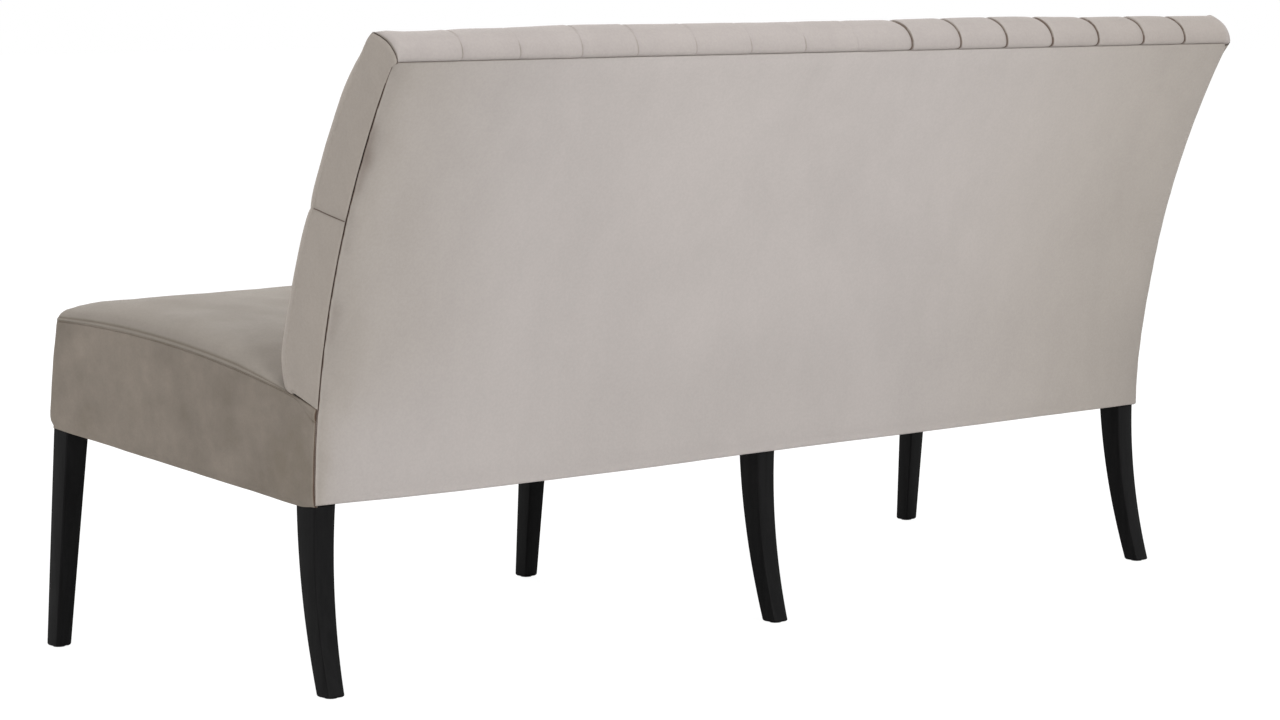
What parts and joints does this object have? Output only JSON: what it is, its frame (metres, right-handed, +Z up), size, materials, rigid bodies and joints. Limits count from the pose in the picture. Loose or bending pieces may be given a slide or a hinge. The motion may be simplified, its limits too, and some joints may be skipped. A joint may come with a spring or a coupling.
{
  "type": "dining sofa",
  "caption": "Long upholstered dining sofa with a crowned seat, a leaning curved back with a pleated top band, and dark tapered and sabre-curved legs.",
  "frame": {"origin": "on the floor, under the middle of the sofa's bounding box", "axes": "+X towards the left hand of a person who sits in it, along the length; -Y is the front, where people sit down; +Z up"},
  "size_m": [1.8366, 0.7501, 0.9008],
  "materials": {
    "velvet": "short pile velvet with a soft mottled nap, light taupe",
    "leg_lacquer": "satin lacquer, near black",
    "beech": "planed, unfinished",
    "plywood": "sawn, unfinished",
    "zinc_steel": "zinc plated",
    "brass": "turned",
    "webbing": "woven strap",
    "foam": "open cell foam, matte",
    "wadding": "loose fibre",
    "dust_cloth": "non-woven, matte"
  },
  "bodies": {
    "root": {"front_leg_left": "leg_lacquer", "front_leg_centre": "leg_lacquer", "front_leg_right": "leg_lacquer", "rear_leg_left": "leg_lacquer", "rear_leg_centre": "leg_lacquer", "rear_leg_right": "leg_lacquer", "foot_glides": "zinc_steel", "front_rail": "beech", "rear_rail": "beech", "side_rail_left": "beech", "side_rail_right": "beech", "cross_rail_left": "beech", "cross_rail_centre": "beech", "cross_rail_right": "beech", "corner_block_front_left": "plywood", "corner_block_front_right": "plywood", "corner_block_rear_left": "plywood", "corner_block_rear_right": "plywood", "back_post_left": "plywood", "back_post_inner_left": "plywood", "back_post_centre": "plywood", "back_post_inner_right": "plywood", "back_post_right": "plywood", "back_top_rail": "beech", "back_stretchers": "plywood", "leg_studs": "zinc_steel", "leg_inserts": "brass", "post_bolts": "zinc_steel", "post_nuts": "zinc_steel", "top_rail_screws": "zinc_steel", "seat_webbing": "webbing", "seat_cross_webbing": "webbing", "back_webbing": "webbing", "seat_foam": "foam", "back_foam": "foam", "back_wadding": "wadding", "seat_top_cover": "velvet", "seat_front_border": "velvet", "seat_side_border_left": "velvet", "seat_side_border_right": "velvet", "inside_back_cover": "velvet", "back_buttons": "velvet", "outside_back_panel": "velvet", "dust_cover": "dust_cloth"}
  },
  "joints": []
}
